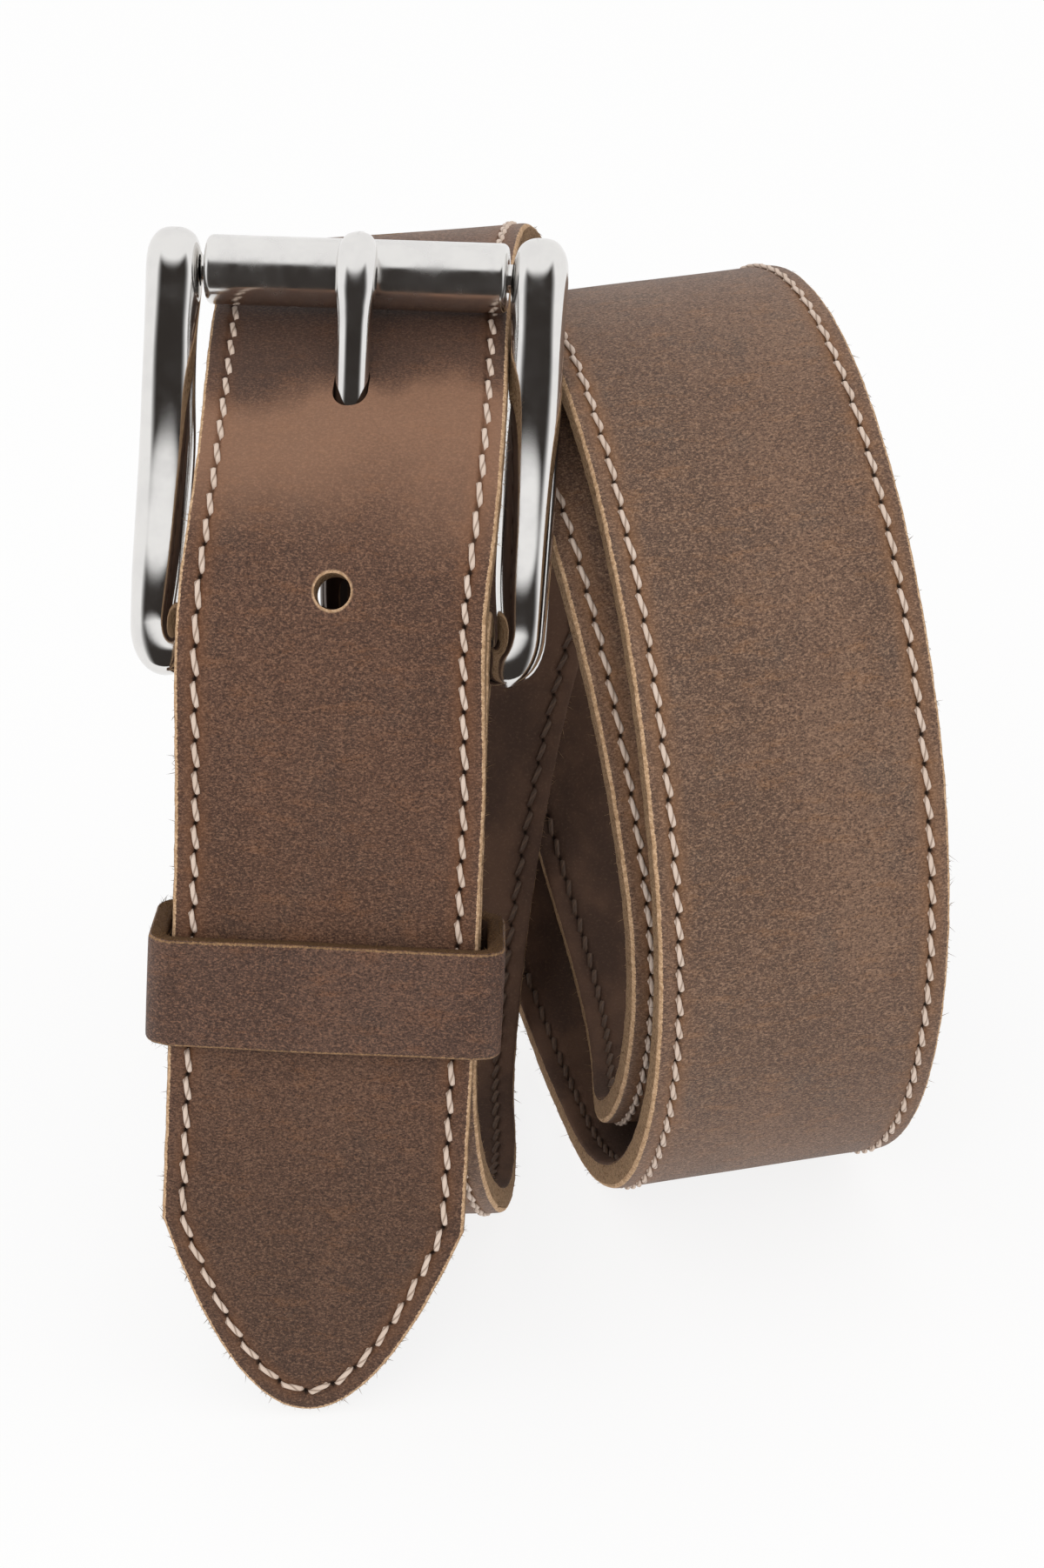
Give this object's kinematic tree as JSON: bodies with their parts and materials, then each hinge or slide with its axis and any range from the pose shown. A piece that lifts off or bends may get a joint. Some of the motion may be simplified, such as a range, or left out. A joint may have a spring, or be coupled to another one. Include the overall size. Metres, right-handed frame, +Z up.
{
  "type": "leather belt",
  "caption": "Brown stitched leather belt with a polished roller buckle, done up through its leather keeper and standing as a flattened coil.",
  "frame": {"origin": "on the table, under the middle of the belt's bounding box", "axes": "+Z up, away from the table that the coil stands on; +X across the strap, to the right as the buckle is faced; the buckle and the pointed end face -Y"},
  "size_m": [0.107, 0.1452, 0.1461],
  "materials": {
    "strap": "waxy pull-up leather, short streaky grain, raw tan edges",
    "needle_thread": "waxed twisted thread",
    "bobbin_thread": "waxed twisted thread",
    "buckle_frame": "polished",
    "buckle_roller": "polished",
    "buckle_prong": "polished",
    "keeper": "waxy leather, fibrous cut edges",
    "keeper_staple": "polished",
    "screw_post_upper": "polished",
    "screw_upper": "polished",
    "screw_post_lower": "polished",
    "screw_lower": "polished"
  },
  "bodies": {
    "belt": {"strap": "strap", "needle_thread": "needle_thread", "bobbin_thread": "bobbin_thread", "screw_post_upper": "screw_post_upper", "screw_upper": "screw_upper", "screw_post_lower": "screw_post_lower", "screw_lower": "screw_lower"},
    "buckle": {"buckle_frame": "buckle_frame"},
    "roller": {"buckle_roller": "buckle_roller"},
    "prong": {"buckle_prong": "buckle_prong"},
    "keeper_loop": {"keeper": "keeper", "keeper_staple": "keeper_staple"}
  },
  "joints": [
    {"name": "buckle_pivot", "type": "hinge", "parent": "belt", "child": "buckle", "pos_m": [-0.02569, -0.03813, 0.09558], "axis": [0.9941, -0.0962, -0.0509], "range_deg": [0, 1]},
    {"name": "roller_spin", "type": "hinge", "parent": "buckle", "child": "roller", "pos_m": [-0.0207, -0.00941, 0.13864], "axis": [0.9941, -0.0962, -0.0509], "continuous": true},
    {"name": "prong_pivot", "type": "hinge", "parent": "buckle", "child": "prong", "pos_m": [-0.02569, -0.03813, 0.09558], "axis": [0.9941, -0.0962, -0.0509], "range_deg": [0, 1.5]},
    {"name": "keeper_slide", "type": "slide", "parent": "belt", "child": "keeper_loop", "axis": [-0.0966, -0.2162, -0.9715], "range_m": [-0.003, 0.003]}
  ]
}
